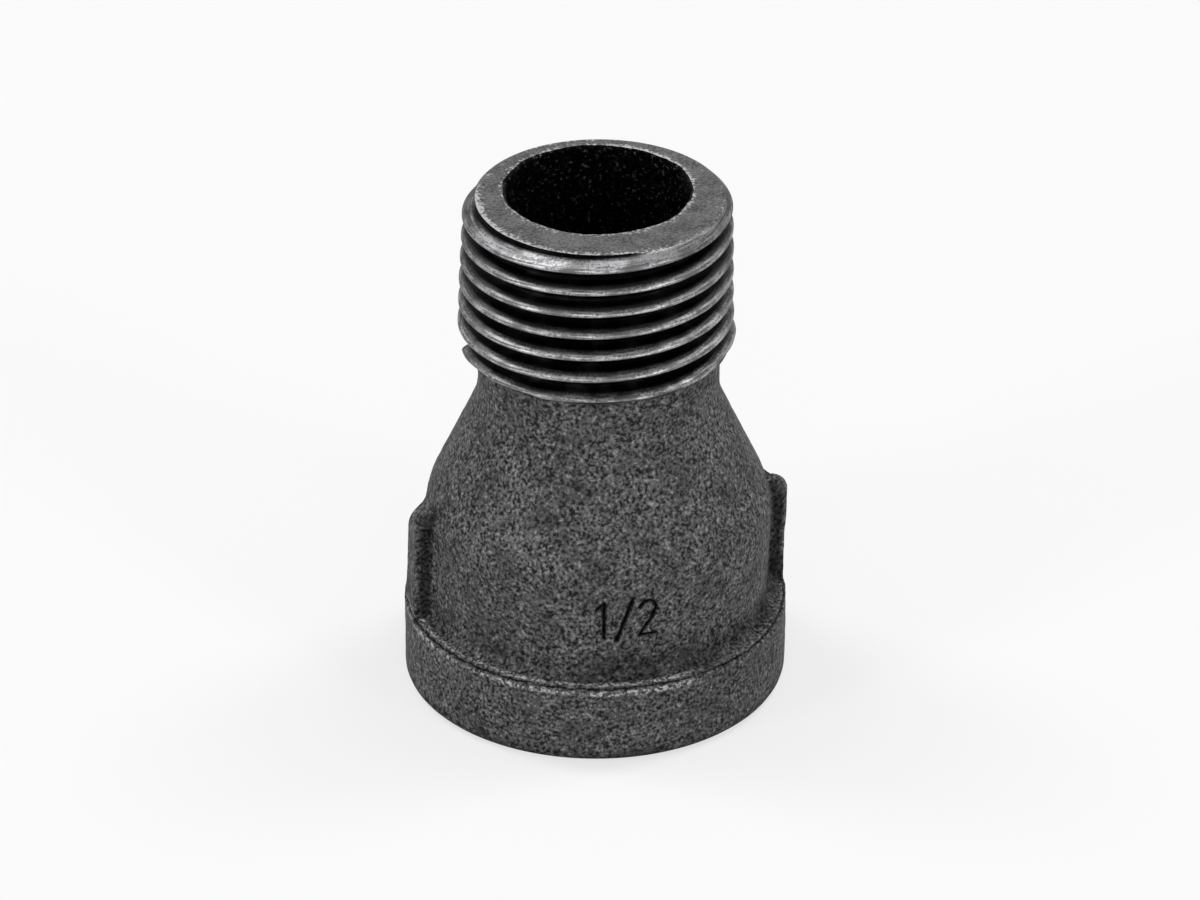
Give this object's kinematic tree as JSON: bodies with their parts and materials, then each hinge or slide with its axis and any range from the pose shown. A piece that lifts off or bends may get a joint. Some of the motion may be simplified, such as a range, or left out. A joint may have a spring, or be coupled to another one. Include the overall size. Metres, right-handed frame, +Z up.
{
  "type": "banded malleable iron extension fitting, half-inch female to half-inch male pipe thread",
  "caption": "Black malleable iron pipe extension with a ribbed banded female end and a tapered male thread.",
  "frame": {"origin": "centre of the flat end face of the banded female end, on the thread axis", "axes": "+Z up the thread axis to the male end, X through the two side ribs"},
  "size_m": [0.0296, 0.0296, 0.0411],
  "materials": {
    "cast_iron": "matte"
  },
  "bodies": {
    "root": {"fitting_body": "cast_iron"}
  },
  "joints": []
}
